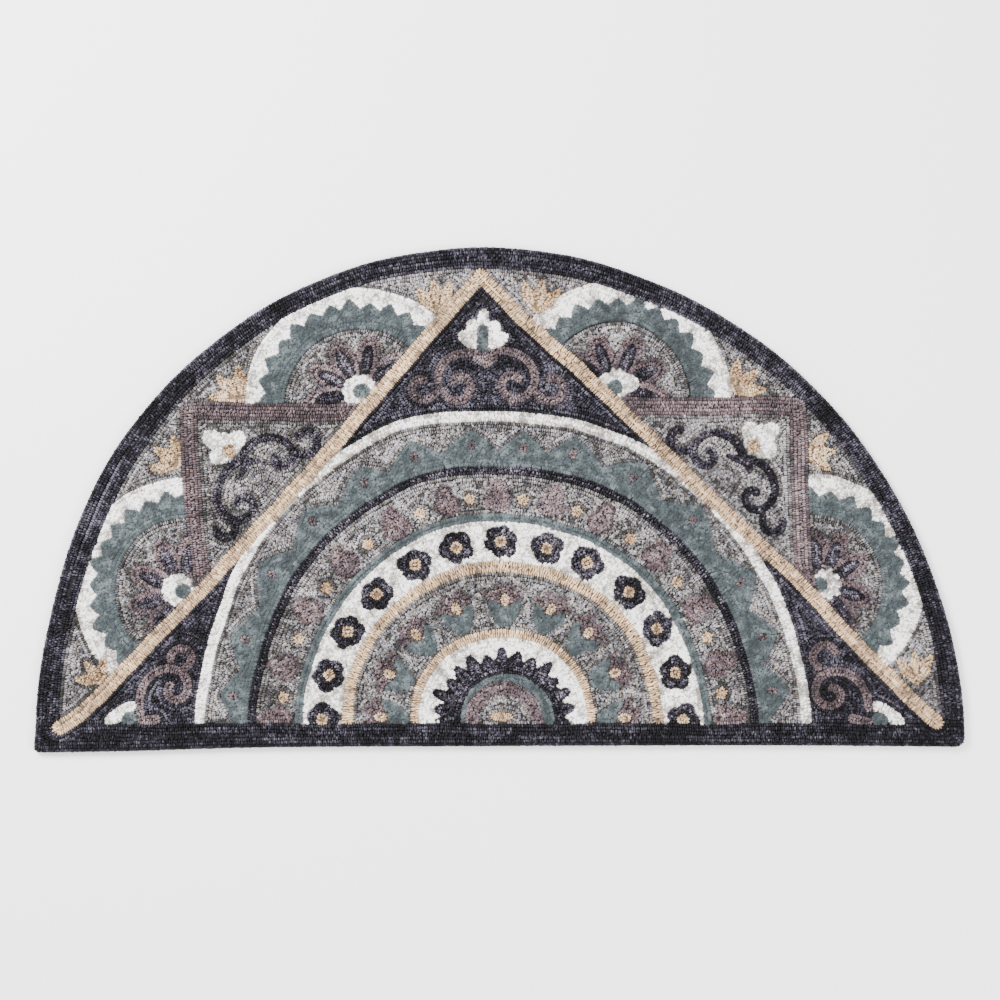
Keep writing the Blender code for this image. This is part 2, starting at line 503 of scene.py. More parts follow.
def paint_lobe(canvas, lobe):
    """A half rosette from its white edge inwards: teeth, petals, and a white heart with its eye."""
    canvas.paint(IVORY, disc(lobe.x, lobe.y, lobe.outer))
    tip = lobe.outer - lobe.white_edge
    teeth = Waves(
        lobe.x, lobe.y, tip - TOOTH, tip, lobe.teeth, lobe.first_tooth_deg, "point", TOOTH_UNEVEN
    )
    canvas.paint(TEAL, waves(teeth))
    canvas.paint(NAVY, disc(lobe.x, lobe.y, lobe.outer - LOBE_BAND))
    canvas.paint(GREY, disc(lobe.x, lobe.y, lobe.outer - LOBE_BAND - lobe.dark_line))
    for yarn, start, length, width, ragged in LOBE_PETALS:
        for bearing in lobe.petals_deg:
            x, y = at(start, bearing, lobe.eye_x, lobe.eye_y)
            canvas.paint(yarn, petal(Petal(x, y, bearing, length, width)), ragged)
    low = lobe.white_radius - HEART_DEPTH[lobe.white_shape]
    middle = (lobe.white_x, lobe.white_y)
    heart = Waves(*middle, low, lobe.white_radius, HEART_WAVES, 0, lobe.white_shape, HEART_UNEVEN)
    canvas.paint(IVORY, waves(heart))
    if lobe.white_oval:
        canvas.paint(IVORY, oval(*middle, lobe.white_oval, lobe.white_radius * HEART_OVAL, 0))
    canvas.paint(TEAL, disc(lobe.eye_x, lobe.eye_y, LOBE_EYE))


def paint_lily(canvas, row):
    foot, belly = LILY_WIDTHS
    leaves = []
    for side in (-1, 0, 1):
        bearing = row.bearing_deg + side * row.fan_deg
        points = [at(row.size * share, bearing, row.x, row.y) for share in LILY_PLACES]
        leaves.append(stroke(points, (row.size * foot, row.size * belly, LILY_TIP)))
    canvas.paint(SAND, joined(*leaves), ragged=1.2)


def paint_clover(canvas, eye, lobes):
    leaves = [stroke((eye, lobe), CLOVER_LEAF) for lobe in lobes]
    middle = np.mean(lobes, axis=0)
    canvas.paint(IVORY, joined(disc(*middle, CLOVER_HEART), *leaves), ragged=1.3)
    canvas.paint(SAND, disc(*eye, CLOVER_EYE))


def paint_square(canvas):
    """The square's two corners that show beside the triangle, with their clovers and scrolls."""
    for points in FRAMES:
        canvas.paint(GREY, polygon(points))
        canvas.paint(MAUVE, stroke(points, FRAME_HALF))
    for eye, lobes in CLOVERS:
        paint_clover(canvas, eye, lobes)
    for row in NAVY_SCROLLS:
        canvas.paint(NAVY, stroke(spiral_points(row), SCROLL_HALF[NAVY]), ragged=0.7)
    for points in SPURS:
        canvas.paint(NAVY, stroke(points, SPUR_WIDTHS))


def paint_triangle(canvas):
    """The triangle with its scrolls, a lotus at its top and half a flower in each of its other corners."""
    canvas.paint(CHARCOAL, polygon(TRIANGLE))
    for row in MAUVE_SCROLLS:
        canvas.paint(MAUVE, stroke(spiral_points(row), SCROLL_HALF[MAUVE]), ragged=0.8)
    canvas.paint(MAUVE, polygon(KNOT))
    canvas.paint(IVORY, joined(*[petal(leaf) for leaf in LOTUS]))
    canvas.paint(TEAL, stroke(LOTUS_STEM, LOTUS_STEM_HALF))
    for leaf, eye, tip in CORNER_FLOWERS:
        canvas.paint(IVORY, petal(leaf))
        canvas.paint(TEAL, disc(*eye))
        canvas.paint(MAUVE, stroke(tip, CORNER_TIP_HALF))


def paint_star(canvas, bearing):
    x, y = at(STAR_RADIUS + STAR_DRIFT * math.sin(math.radians(bearing)), bearing)
    canvas.paint(SAND, waves(STAR._replace(x=x, y=y, bearing_deg=bearing)))


def paint_star_flower(canvas, bearing, k):
    """A flower on the white ring. Every fourth has one lobe more, and each is turned its own way."""
    x, y = at(FLOWER_RADIUS, bearing)
    lobes = FLOWER.count + 1 if k % 4 == 2 else FLOWER.count
    turn = bearing + FLOWER_SWAY_DEG * math.sin(3 * k)
    canvas.paint(NAVY, waves(FLOWER._replace(x=x, y=y, count=lobes, bearing_deg=turn)), ragged=1.3)
    canvas.paint(SAND, waves(FLOWER_EYE._replace(x=x, y=y, bearing_deg=FLOWER_EYE_DEG * k)))


def fan(radius, bearing, leaves, width):
    """Leaves from one foot, each at its own angle to the bearing and with its own length."""
    foot = at(radius, bearing)
    return joined(*[petal(Petal(*foot, bearing + side, length, width)) for side, length in leaves])


def paint_sprig(canvas, bearing):
    canvas.paint(MAUVE, fan(SPRIG_FAN_RADIUS, bearing, SPRIG_FAN, SPRIG_FAN_WIDTH), ragged=3.0)
    canvas.paint(TEAL, fan(SPRIG_LEAF_RADIUS, bearing, SPRIG_LEAVES, SPRIG_LEAF_WIDTH), ragged=2.2)
    canvas.paint(SAND, hub_oval(SPRIG_EYE, bearing))


def paint_rings(canvas, rows):
    for row in rows:
        canvas.paint(row.yarn, ring_disc(row))


def paint_medallion(canvas):
    """The rings from the outermost inwards, each with the motifs that stand on it."""
    paint_rings(canvas, OUTER_RINGS)
    canvas.paint(TEAL, peaks(), ragged=1.0)
    for row in PEAKS[1:-1]:
        eye = Oval(row.valley + PEAK_EYE_SHARE * (row.tip - row.valley), *PEAK_EYE)
        canvas.paint(MAUVE, hub_oval(eye, row.bearing_deg), ragged=1.0)
    paint_rings(canvas, BELL_RINGS)
    for bearing in BELLS_DEG:
        canvas.paint(MAUVE, joined(*[hub_oval(row, bearing) for row in BELL]), ragged=3.0)
    for bearing in STARS_DEG:
        paint_star(canvas, bearing)
    paint_rings(canvas, FLOWER_RINGS)
    for k, bearing in enumerate(STAR_FLOWERS_DEG):
        paint_star_flower(canvas, bearing, k)
    paint_rings(canvas, SPRIG_RINGS)
    for bearing in SPRIGS_DEG:
        paint_sprig(canvas, bearing)
    paint_rings(canvas, WREATH_RINGS)
    canvas.paint(NAVY, waves(WREATH), ragged=1.2)
    for yarn, place, ragged in INNER_DISCS:
        canvas.paint(yarn, disc(*place), ragged)
    canvas.paint(SAND, oval(*CENTRE, 0))


def painted_pattern(outline):
    """The whole pattern, each motif over the ones before it."""
    canvas = Canvas(outline)
    for lobe in LOBES:
        paint_lobe(canvas, lobe)
    for row in LILIES:
        paint_lily(canvas, row)
    canvas.paint_rim(CHARCOAL)
    paint_square(canvas)
    paint_triangle(canvas)
    paint_medallion(canvas)
    canvas.paint(CHARCOAL, polygon(STRIP))
    for points in (LEFT_BAND, RIGHT_BAND):
        canvas.paint(BEIGE, stroke(points, BAND_HALF))
    canvas.depth = np.where(canvas.rim > 0, np.minimum(canvas.depth, canvas.rim), canvas.rim)
    return canvas


# How one yarn is hooked: the spacing of its loops across and along a row, their height and form. The
# jitter is how unevenly they stand along a row. Their tones spread from loop to loop, drift along a row
# in streaks, and are darker by the edge shade at a motif's edge, partly as painted shade of the groove
# along the edge and partly as a darker outline row. The bed is how high the roots rise.
Yarn = namedtuple("Yarn", "name slot across along height form jitter spread streak edge_shade bed")

YARNS = (
    Yarn("charcoal", "charcoal_wool", 4.0, 2.8, 5.6, "loop", 0.07, 0.1, 0.14, 0.14, 0.7),
    Yarn("grey", "grey_wool", 4.1, 2.7, 5.5, "loop", 0.07, 0.11, 0.1, 0.13, 0.9),
    Yarn("mauve", "mauve_wool", 4.1, 2.7, 5.5, "loop", 0.07, 0.1, 0.12, 0.1, 0.9),
    Yarn("beige", "beige_wool", 4.9, 2.7, 5.6, "stroke", 0.08, 0.12, 0.06, 0.06, 1.4),
    Yarn("navy", "charcoal_wool", 3.6, 2.8, 5.6, "loop", 0.07, 0.1, 0.12, 0.14, 0.7),
    Yarn("teal", "teal_wool", 4.0, 3.0, 5.0, "cut", 0.15, 0.08, 0.06, -0.03, 3.7),
    Yarn("ivory", "ivory_wool", 4.0, 2.7, 5.4, "cut", 0.15, 0.13, 0.08, 0.14, 3.9),
    Yarn("sand", "beige_wool", 3.8, 2.4, 5.6, "loop", 0.07, 0.12, 0.04, 0.1, 0.9),
)

# Rings of a loop's dome, as a share of its spacing across and along the row and of its height.
# Looped yarn stands in narrow loops with gaps between them. Cut pile is fuller and flatter.
FORMS = {
    "loop": (6, ((0.68, 0.62, 0.0), (0.52, 0.43, 0.74))),
    "stroke": (6, ((0.8, 0.56, 0.0), (0.68, 0.37, 0.74))),
    "cut": (5, ((0.9, 0.9, 0.0), (0.66, 0.66, 0.86))),
}
ROOT = 5.2  # the height of the ground cloth that the loops stand in
ROOT_CELL = 4.0  # the grid of the bed of roots
ROOT_RIM = 2.6  # how far inside the outline the bed ends
ROOT_UNEVEN = 0.3
ROOT_PAINTED_SHADE = 0.6  # how dark a yarn is painted down at its roots: painted shade for the shade between the loops
CUT_ROOT_PAINTED_SHADE = 0.85  # and at the roots of cut pile, which reach nearly to its top, so they get less painted shade
AHEAD = 3.0  # how far along a row its direction is looked for
DRIFT = (25, 60)  # the shortest and longest waves of a row's tone, in millimetres a radian
DRIFT_SHADE, ROW_SHADE = 0.6, 0.6
FILL_ROUNDS = 3
FILL_COVER = 1.05  # the share of its spacing that a loop is taken to cover
COVER_REACH = 5  # cells that a loop covers each way at most
FILL_DEPTH, FILL_RIM = 0.7, 1.2
FILL_STEP = 3  # cells between two loops that fill gaps
ROOM = 0.62  # the share of its spacing that a loop keeps free of others
ROOM_CELL = 4
SPIN_DEG = 6  # how much loops turn, differ in size, sway and lean, and the limits of that
SIZE_SPREAD, SWAY, LEAN = 0.06, 0.18, 0.28
SIZE_LIMITS, SWAY_LIMIT, LEAN_LIMIT, HEIGHT_LIMITS = (0.85, 1.15), 0.5, 0.6, (0.88, 1.1)
LOOP_UNEVEN, CUT_UNEVEN = 0.05, 0.02
MIDDLE_TONE, RIM_TONE = 0.52, -0.08
YARN_LENGTH = 90  # the loops' patches of yarn start anywhere along this
BAKE_HALF = 0.46  # half of a loop's patch in the baked map, as a share of its cell
STRIP_TONE, TRIANGLE_TONE, BORDER_TONE, MEDALLION_TONE = -0.11, 0.055, 0.015, -0.05
# Two rows of loops on the rolled rim: how far inside the outline, how high, and how far they lean out
RIM_ROWS = ((2.4, 5.4, 42), (1.7, 2.9, 80))
RIM_REACH, RIM_ACROSS, RIM_ALONG = 2.3, 3.6, 3.9
RIM_SPACING, RIM_JITTER, RIM_SPREAD, RIM_LIMITS = 0.95, 0.1, 0.08, (0.8, 1.15)
# The side of the ground cloth, from below to above: how far inside the outline, and how high
HEM = ((4.0, 0.0), (2.6, 0.0), (1.9, 0.8), (1.7, 2.4), (2.0, 4.2), (3.2, ROOT + 0.2), (5.0, ROOT + 0.4))
SOLE = 0.0005  # in metres, the height up to which the cotton of the ground cloth shows
SHARP_DEG = 50


def level_chains(field, level):
    """The lines along which a grid takes this level, as chains of points in cells."""
    over = field > level
    size, width = field.size, field.shape[1]
    crossed_flat = np.zeros(field.shape, bool)
    crossed_flat[:, :-1] = over[:, :-1] != over[:, 1:]
    crossed_up = np.zeros(field.shape, bool)
    crossed_up[:-1] = over[:-1] != over[1:]
    places = {}
    for crossed, right, up, first_key in ((crossed_flat, 1, 0, 0), (crossed_up, 0, 1, size)):
        rows, cols = np.nonzero(crossed)
        here, there = field[rows, cols], field[rows + up, cols + right]
        share = (level - here) / (there - here)
        keys = first_key + rows * width + cols
        for key, col, row in zip(keys, cols + right * share, rows + up * share):
            places[key] = (col, row)
    sides = (crossed_flat[:-1, :-1], crossed_up[:-1, 1:], crossed_flat[1:, :-1], crossed_up[:-1, :-1])
    edges = np.stack(sides)
    rows, cols = np.nonzero(edges.any(axis=0))
    index = rows * width + cols
    keys = np.stack([index, size + index + 1, index + width, size + index])
    crossed = edges[:, rows, cols]
    links = {key: [] for key in places}
    for i in range(len(rows)):
        found = keys[crossed[:, i], i]
        for first, second in zip(found[::2], found[1::2]):
            links[first].append(second)
            links[second].append(first)
    return walk(places, links)


def walk(places, links):
    """Follows the links from place to place, open lines first and then closed ones."""
    left = set(places)
    chains = []
    for start in sorted(places, key=lambda key: (len(links[key]), key)):
        if start not in left:
            continue
        chain = [start]
        left.discard(start)
        here = start
        while True:
            onward = [key for key in links[here] if key in left]
            if not onward:
                break
            here = onward[0]
            left.discard(here)
            chain.append(here)
        if len(chain) > 2 and start in links[here]:
            chain.append(start)
        chains.append(np.array([places[key] for key in chain]))
    return chains


class Spots:
    """Places of loops: where each stands, which way its row runs, its row number, yarn and shade."""

    def __init__(self):
        self.parts = []

    def add(self, x, y, dx, dy, row, yarn, shade):
        same = [np.broadcast_to(value, len(x)) for value in (row, yarn, shade)]
        self.parts.append((x, y, dx, dy, *same))

    def arrays(self):
        return [np.concatenate(column) for column in zip(*self.parts)]


def along_chain(chain, spacing, jitter):
    """Places at an even spacing along a chain, with the direction of the chain there."""
    steps = np.hypot(*np.diff(chain, axis=0).T)
    run = np.concatenate([[0], np.cumsum(steps)])
    count = int(run[-1] / spacing + 0.5)
    if count < 1:
        return np.empty((0, 4))
    where = (np.arange(count) + 0.5) * run[-1] / count
    where = where + rng.normal(0, jitter * spacing, count)
    where = np.clip(where, 0, run[-1])
    x, y = np.interp(where, run, chain[:, 0]), np.interp(where, run, chain[:, 1])
    ahead, behind = np.minimum(where + AHEAD, run[-1]), np.maximum(where - AHEAD, 0)
    dx = np.interp(ahead, run, chain[:, 0]) - np.interp(behind, run, chain[:, 0])
    dy = np.interp(ahead, run, chain[:, 1]) - np.interp(behind, run, chain[:, 1])
    size = np.hypot(dx, dy) + 1e-9
    return np.stack([x, y, dx / size, dy / size], axis=1)


def hooked_rows(canvas):
    """Rows of loops of every yarn, each row at an even distance from its motif's edge."""
    spots = Spots()
    for index, yarn in enumerate(YARNS):
        field = np.where(canvas.yarn == index, canvas.depth, -np.abs(canvas.depth))
        row = 0
        while (row + 0.5) * yarn.across < field.max():
            level = (row + 0.5) * yarn.across
            for chain in level_chains(field, level):
                found = along_chain(chain * CELL, yarn.along, yarn.jitter)
                if len(found):
                    x, y = found[:, 0] + canvas.low[0], found[:, 1] + canvas.low[1]
                    run = np.arange(len(x)) * yarn.along
                    wave = np.sin(run / rng.uniform(*DRIFT) + rng.uniform(0, 6)) * DRIFT_SHADE
                    shade = wave + rng.normal(0, ROW_SHADE)
                    spots.add(x, y, found[:, 2], found[:, 3], row, index, shade)
            row += 1
    return spots


def covered_cells(canvas, x, y, dx, dy, yarn):
    """The cells that these loops stand on."""
    covered = np.zeros(canvas.x.shape, bool)
    across = np.array([row.across for row in YARNS])[yarn] * FILL_COVER / 2
    along = np.array([row.along for row in YARNS])[yarn] * FILL_COVER / 2
    col, row = (x - canvas.low[0]) / CELL, (y - canvas.low[1]) / CELL
    for i in range(-COVER_REACH, COVER_REACH + 1):
        for j in range(-COVER_REACH, COVER_REACH + 1):
            c, r = np.round(col) + i, np.round(row) + j
            ox, oy = (c - col) * CELL, (r - row) * CELL
            u = ox * dx + oy * dy
            v = -ox * dy + oy * dx
            hit = (u / along) ** 2 + (v / across) ** 2 < 1
            hit &= (c >= 0) & (r >= 0) & (c < covered.shape[1]) & (r < covered.shape[0])
            covered[r[hit].astype(int), c[hit].astype(int)] = True
    return covered


def around(cell):
    """A cell of a coarse grid and the eight round it."""
    return [(cell[0] + a, cell[1] + b) for a in (-1, 0, 1) for b in (-1, 0, 1)]


def fill_gaps(canvas, spots):
    """Adds a loop wherever the rows leave a gap that one fits in."""
    slope_y, slope_x = np.gradient(canvas.depth)
    for _ in range(FILL_ROUNDS):
        x, y, dx, dy, _, yarn, _ = spots.arrays()
        bare = ~covered_cells(canvas, x, y, dx, dy, yarn)
        bare &= (canvas.depth > FILL_DEPTH) & (canvas.rim > FILL_RIM)
        wide = bare.copy()
        wide[1:-1, 1:-1] &= bare[:-2, 1:-1] & bare[2:, 1:-1] & bare[1:-1, :-2] & bare[1:-1, 2:]
        rows, cols = np.nonzero(wide)
        taken = set()
        chosen = []
        for i in rng.permutation(len(rows)):
            key = (rows[i] // FILL_STEP, cols[i] // FILL_STEP)
            if not any(cell in taken for cell in around(key)):
                taken.add(key)
                chosen.append(i)
        if not chosen:
            break
        rows, cols = rows[chosen], cols[chosen]
        gx, gy = slope_x[rows, cols], slope_y[rows, cols]
        size = np.hypot(gx, gy) + 1e-6
        kind = canvas.yarn[rows, cols]
        for index in range(len(YARNS)):
            mine = kind == index
            if mine.any():
                spots.add(
                    canvas.x[rows, cols][mine],
                    canvas.y[rows, cols][mine],
                    -gy[mine] / size[mine],
                    gx[mine] / size[mine],
                    row=1,
                    yarn=index,
                    shade=0.0,
                )
    return spots


def thinned(arrays):
    """Leaves out a loop that stands almost on another."""
    x, y, dx, dy, row, yarn, shade = arrays
    room = np.array([min(kind.across, kind.along) for kind in YARNS])[yarn] * ROOM
    grid = {}
    keep = np.zeros(len(x), bool)
    for i in np.argsort(row, kind="stable"):
        key = (int(x[i] // ROOM_CELL), int(y[i] // ROOM_CELL))
        near = [k for cell in around(key) for k in grid.get(cell, ())]
        if all(math.hypot(x[k] - x[i], y[k] - y[i]) > (room[i] + room[k]) / 2 for k in near):
            keep[i] = True
            grid.setdefault(key, []).append(i)
    return [part[keep] for part in arrays]


def dome(form):
    """One loop as a low dome: its points as across, along and rise from 0 to 1, and its triangles."""
    sides, rings = FORMS[form]
    points, faces = [], []
    for across, along, height in rings:
        for i in range(sides):
            turn = math.tau * i / sides
            points.append((across * math.cos(turn), along * math.sin(turn), height))
    points.append((0, 0, 1))
    for i in range(sides):
        j = (i + 1) % sides
        faces += [(i, j, sides + j), (i, sides + j, sides + i), (sides + i, sides + j, 2 * sides)]
    return np.array(points), np.array(faces)


def placed(name, data):
    """A new object in the scene."""
    obj = bpy.data.objects.new(name, data)
    bpy.context.scene.collection.objects.link(obj)
    return obj


def loops_mesh(name, place, across, along, up, tone, form):
    """Many loops as one mesh. Each has a root, three vectors that span it and a tone of its own."""
    points, faces = dome(form)
    count = len(place)
    co = (
        place[:, None]
        + points[None, :, 0, None] * across[:, None]
        + points[None, :, 1, None] * along[:, None]
        + points[None, :, 2, None] * up[:, None]
    )
    triangles = faces[None] + (np.arange(count) * len(points))[:, None, None]
    mesh = bpy.data.meshes.new(name)
    mesh.from_pydata(co.reshape(-1, 3) * MM, [], triangles.reshape(-1, 3))
    corner = np.tile(points[faces.reshape(-1)], (count, 1))
    owner = np.repeat(np.arange(count), faces.size)
    grid = math.ceil(math.sqrt(count))
    cell = np.stack([owner % grid, owner // grid], axis=1)
    bake = (cell + 0.5 + corner[:, :2] * BAKE_HALF / points[:, :2].max()) / grid
    set_uv(mesh, "OFBake", bake)
    lengths = np.stack([np.linalg.norm(across, axis=1), np.linalg.norm(along, axis=1)], axis=1)
    start = rng.uniform(0, YARN_LENGTH, (count, 2))
    set_uv(mesh, "yarn", corner[:, :2] * lengths[owner] + start[owner])
    attribute = mesh.attributes.new("tone", "FLOAT", "POINT")
    attribute.data.foreach_set("value", np.repeat(tone, len(points)))
    mesh.shade_smooth()
    return placed(name, mesh)


def set_uv(mesh, name, values):
    layer = mesh.uv_layers.new(name=name)
    layer.uv.foreach_set("vector", np.ascontiguousarray(values, float).ravel())


def linear(colour):
    """A colour as light, from the values of a screen."""
    red, green, blue = (int(colour[i : i + 2], 16) / 255 for i in (0, 2, 4))
    parts = [c / 12.92 if c <= 0.04045 else ((c + 0.055) / 1.055) ** 2.4 for c in (red, green, blue)]
    return (*parts, 1.0)


# The colours of one yarn from dark to light, the place of each, and two tints that vary them. The rest is
# how far the tone varies by ply, fleck, fibre and soft patch, and the sheen.
Wool = namedtuple("Wool", "name colours places tints ply fleck fibre mottle sheen")

WARM_COOL = ("ffe9d8", "e4ebff")
VIOLET_COOL = ("fff0ee", "e8edff")
PLAIN = ("fff8f0", "f4f8ff")
TAN_CREAM = ("fff0e2", "fffaf2")
WOOLS = (
    Wool("charcoal", ("020203", "111015", "2a2831", "66646d"), (0.1, 0.38, 0.62, 0.95), VIOLET_COOL,
         0.4, 1.3, 0.9, 0.9, 0.0),
    Wool("grey", ("1c1e1c", "555353", "888888", "c1c3c2"), (0.08, 0.38, 0.62, 0.95), WARM_COOL,
         0.4, 1.3, 0.9, 1.0, 0.1),
    Wool("mauve", ("211b1d", "4d4246", "6f5f62", "9f9694"), (0.08, 0.38, 0.64, 0.98), WARM_COOL,
         0.4, 1.3, 0.8, 0.9, 0.1),
    Wool("beige", ("50463c", "a18b74", "ceb799", "f6e5ca"), (0.05, 0.35, 0.62, 0.98), TAN_CREAM,
         0.4, 1.0, 0.9, 0.8, 0.15),
    Wool("navy", ("030305", "201e25", "46434c", "948e96"), (0.1, 0.38, 0.62, 0.95), VIOLET_COOL,
         0.4, 1.4, 0.9, 0.9, 0.0),
    Wool("teal", ("191f21", "2d3639", "394245", "5e6769"), (0.05, 0.38, 0.62, 0.98), PLAIN,
         0.2, 0.9, 1.0, 1.8, 0.2),
    Wool("ivory", ("7b7670", "c7c3be", "f5f3f0", "ffffff"), (0.05, 0.3, 0.52, 0.82), PLAIN,
         0.2, 1.5, 1.2, 1.8, 0.2),
    Wool("sand", ("5c4631", "a48b6f", "c8b69c", "e4dccc"), (0.05, 0.35, 0.62, 0.98), TAN_CREAM,
         0.4, 1.6, 0.9, 0.9, 0.15),
)
# The scales of the wool's noises: fine fibres, soft patches, lots of dye and tints
FIBRE_SCALE, MOTTLE_SCALE, DYE_SCALE, TINT_SCALE = 800.0, 85.0, 24.0, 330.0
PLY_SHARE, DYE_SHARE = 0.34, 0.9
PLY_TURN_DEG = 28
ROOT_SCALE = 600.0


class Nodes:
    """Adds shader nodes and links them."""

    def __init__(self, name):
        self.material = bpy.data.materials.new(name)
        self.material.use_nodes = True
        self.tree = self.material.node_tree
        self.shader = self.tree.nodes["Principled BSDF"]

    def give(self, inputs, values):
        """Links each value that is a socket, and sets the others."""
        for key, value in values.items():
            if isinstance(value, bpy.types.NodeSocket):
                self.tree.links.new(value, inputs[key])
            else:
                inputs[key].default_value = value

    def feed(self, socket, value):
        self.give(self.shader.inputs, {socket: value})

    def add(self, kind, inputs, **settings):
        node = self.tree.nodes.new(kind)
        for key, value in settings.items():
            setattr(node, key, value)
        self.give(node.inputs, inputs)
        return node

    def math(self, operation, *values):
        return self.add("ShaderNodeMath", dict(enumerate(values)), operation=operation).outputs[0]

    def place(self):
        return self.add("ShaderNodeTexCoord", {}).outputs["Object"]

    def noise(self, place, scale, detail):
        inputs = {"Vector": place, "Scale": scale, "Detail": detail}
        return self.add("ShaderNodeTexNoise", inputs).outputs["Fac"]

    def wave(self, place, axis, scale, distortion, detail, detail_scale):
        inputs = {"Vector": place, "Scale": scale, "Distortion": distortion}
        inputs |= {"Detail": detail, "Detail Scale": detail_scale}
        return self.add("ShaderNodeTexWave", inputs, bands_direction=axis).outputs["Fac"]

    def multiply(self, first, second):
        inputs = {0: 1.0, 6: first, 7: second}
        return self.add("ShaderNodeMix", inputs, data_type="RGBA", blend_type="MULTIPLY").outputs[2]

    def between(self, value, ends, low, high):
        """A value that is low at the first end and high at the second."""
        inputs = {"Value": value, "From Min": ends[0], "From Max": ends[1], "To Min": low, "To Max": high}
        return self.add("ShaderNodeMapRange", inputs).outputs[0]

    def ramp(self, value, places, colours):
        node = self.add("ShaderNodeValToRGB", {"Fac": value})
        stops = node.color_ramp.elements
        while len(stops) < len(places):
            stops.new(0.5)
        for stop, place, colour in zip(stops, places, colours):
            stop.position = place
            stop.color = linear(colour)
        return node.outputs["Color"]

    def bump(self, height, strength, distance):
        bump = self.add("ShaderNodeBump", {"Strength": strength, "Distance": distance, "Height": height})
        self.feed("Normal", bump.outputs["Normal"])


def wool_material(row):
    """Heathered wool: each loop has its own tone, with flecks along the yarn and fine fibres over it."""
    nodes = Nodes(row.name + "_wool")
    tone = nodes.add("ShaderNodeAttribute", {}, attribute_name="tone").outputs["Fac"]
    yarn = nodes.add("ShaderNodeUVMap", {}, uv_map="yarn").outputs["UV"]
    place = nodes.place()
    turn = (0, 0, math.radians(PLY_TURN_DEG))
    turned = nodes.add("ShaderNodeMapping", {"Vector": yarn, "Rotation": turn}).outputs[0]
    ply = nodes.wave(turned, "Y", scale=0.42, distortion=1.2, detail=2.0, detail_scale=1.5)
    drawn = nodes.add("ShaderNodeMapping", {"Vector": yarn, "Scale": (0.4, 1.0, 1.0)}).outputs[0]
    fleck = nodes.noise(drawn, scale=1.0, detail=2.0)
    fibre = nodes.noise(place, FIBRE_SCALE, detail=2.0)
    mottle = nodes.noise(place, MOTTLE_SCALE, detail=3.0)
    dye = nodes.noise(place, DYE_SCALE, detail=3.0)
    value = tone
    for part, depth in (
        (ply, row.ply * PLY_SHARE),
        (fleck, row.fleck),
        (fibre, row.fibre),
        (mottle, row.mottle),
        (dye, DYE_SHARE),
    ):
        centred = nodes.math("SUBTRACT", part, 0.5)
        value = nodes.math("MULTIPLY_ADD", centred, depth, value)
    dyed = nodes.ramp(value, row.places, row.colours)
    tint = nodes.ramp(nodes.noise(place, TINT_SCALE, detail=1.0), (0.36, 0.64), row.tints)
    nodes.feed("Base Color", nodes.multiply(dyed, tint))
    nodes.feed("Roughness", nodes.between(fibre, (0.3, 0.7), low=0.82, high=0.98))
    nodes.bump(nodes.math("MULTIPLY_ADD", fibre, 0.5, ply), strength=0.5, distance=0.0005)
    nodes.feed("Sheen Weight", row.sheen)
    nodes.feed("Sheen Roughness", 0.5)
    nodes.feed("Specular IOR Level", 0.25)
    return nodes.material


def canvas_material():
    """Plain woven cotton, for the underside."""
    nodes = Nodes("ground_cloth")
    place = nodes.place()
    thread = {"scale": 160.0, "distortion": 0.6, "detail": 1.0, "detail_scale": 1.0}
    weave = nodes.math("MAXIMUM", *[nodes.wave(place, axis, **thread) for axis in ("X", "Y")])
    fibre = nodes.noise(place, scale=900.0, detail=3.0)
    value = nodes.math("MULTIPLY_ADD", fibre, 0.5, weave)
    value = nodes.math("SUBTRACT", value, 0.35)
    nodes.feed("Base Color", nodes.ramp(value, (0.1, 0.5, 0.95), ("8f8676", "c2b8a4", "ddd5c4")))
    nodes.bump(value, strength=0.7, distance=0.0006)
    nodes.feed("Roughness", nodes.between(fibre, (0.0, 1.0), low=0.8, high=1.0))
    return nodes.material


def matted_wool(nodes, colours):
    """Gives a material the bump and roughness of matted fibres, and returns them in these colours."""
    fibre = nodes.noise(nodes.place(), ROOT_SCALE, detail=4.0)
    nodes.bump(fibre, strength=0.8, distance=0.0008)
    nodes.feed("Roughness", 0.95)
    return nodes.ramp(fibre, (0.3, 0.5, 0.7), colours)


def roots_material():
    """The wool down between the loops, in the colour of the loops that stand there, darkened as painted
    shade.
    """
    nodes = Nodes("pile_roots")
    dye = nodes.add("ShaderNodeAttribute", {}, attribute_name="root_colour").outputs["Color"]
    shade = matted_wool(nodes, ("9a9a9a", "d0d0d0", "ffffff"))
    nodes.feed("Base Color", nodes.multiply(dye, shade))
    return nodes.material


